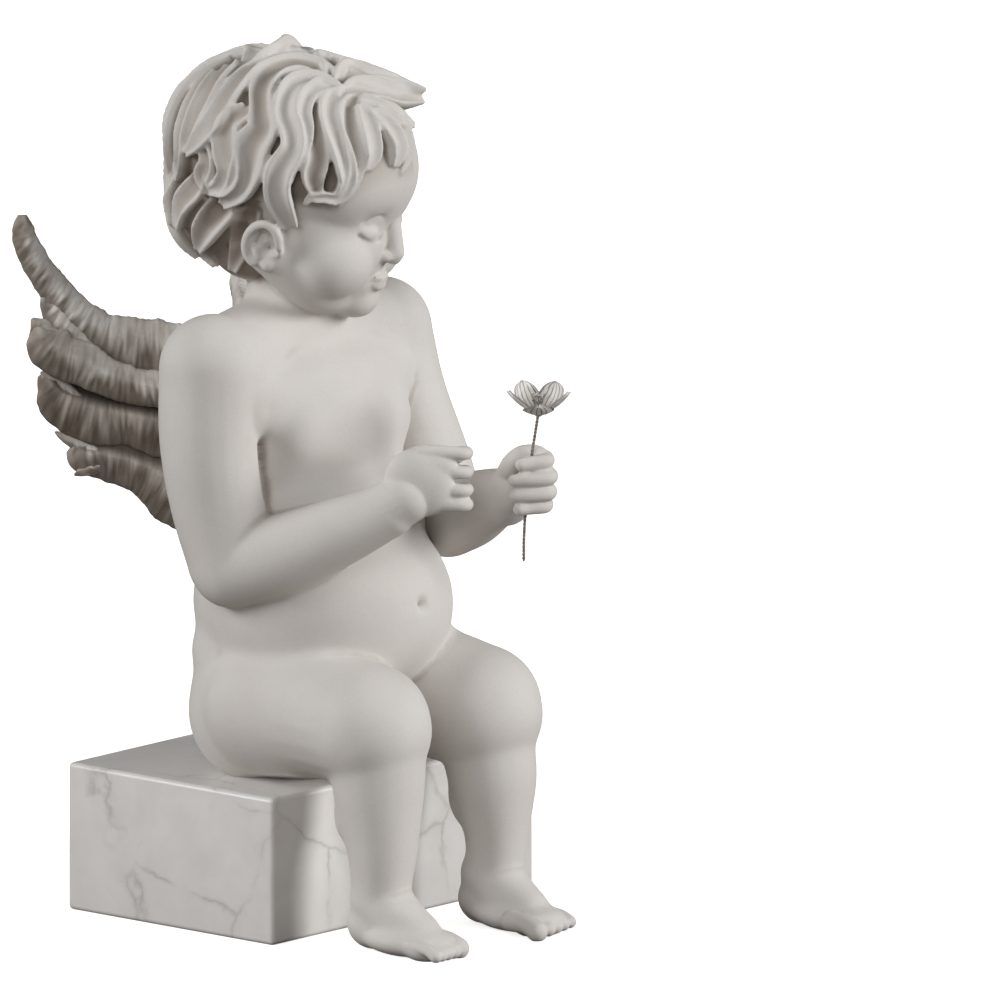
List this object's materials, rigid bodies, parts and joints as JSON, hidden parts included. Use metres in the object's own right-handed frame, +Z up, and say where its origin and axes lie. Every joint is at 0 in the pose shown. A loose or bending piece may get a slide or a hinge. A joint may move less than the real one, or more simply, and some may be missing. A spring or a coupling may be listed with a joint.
{
  "type": "cherub statuette",
  "caption": "Seated child cherub with feathered wings, holding a flower on a wire stem, on a rectangular marble block. Stands by its own weight as a table ornament.",
  "frame": {"origin": "centre of the marble block's underside", "axes": "+Z up; the figure faces -Y; its right side is towards -X"},
  "size_m": [0.2025, 0.2406, 0.4129],
  "materials": {
    "plaster": "matt",
    "marble": "polished",
    "weathered_wing": "rough",
    "stem_wire": "matt",
    "petals": "matt"
  },
  "bodies": {
    "root": {"seat_block": "marble", "cherub_figure": "plaster", "wing_right": "weathered_wing", "wing_left": "weathered_wing", "flower_stem": "stem_wire", "flower_head": "petals"}
  },
  "joints": []
}
